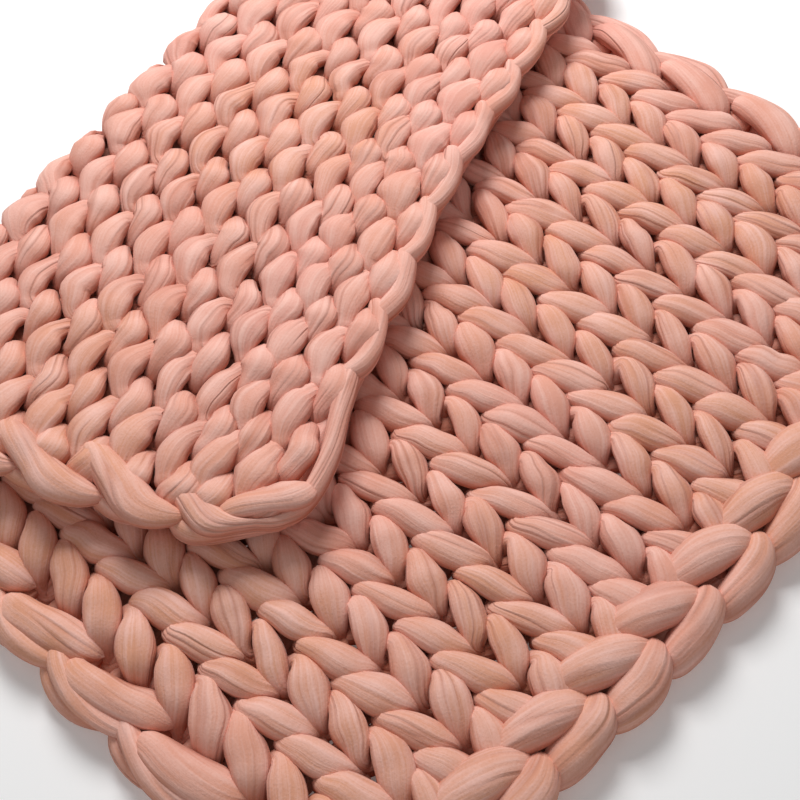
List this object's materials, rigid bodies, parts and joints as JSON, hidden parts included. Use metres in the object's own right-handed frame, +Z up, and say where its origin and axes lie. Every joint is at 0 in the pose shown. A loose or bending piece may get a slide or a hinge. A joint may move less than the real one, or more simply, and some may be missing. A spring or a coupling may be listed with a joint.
{
  "type": "chunky knit blanket",
  "caption": "Thick hand-knitted wool blanket lying flat, its far end folded over on a slant so that the purl side shows.",
  "frame": {"origin": "centre of the bounding box's footprint, on the surface that the blanket lies on", "axes": "+X across the wales, from the selvedge on the left to the one on the right; +Y along the wales, from the bound-off end to the fold; +Z up"},
  "size_m": [1.138, 1.031, 0.095],
  "materials": {
    "wool": "matt unspun wool roving, dusty rose"
  },
  "bodies": {
    "root": {"blanket": "wool"}
  },
  "joints": []
}
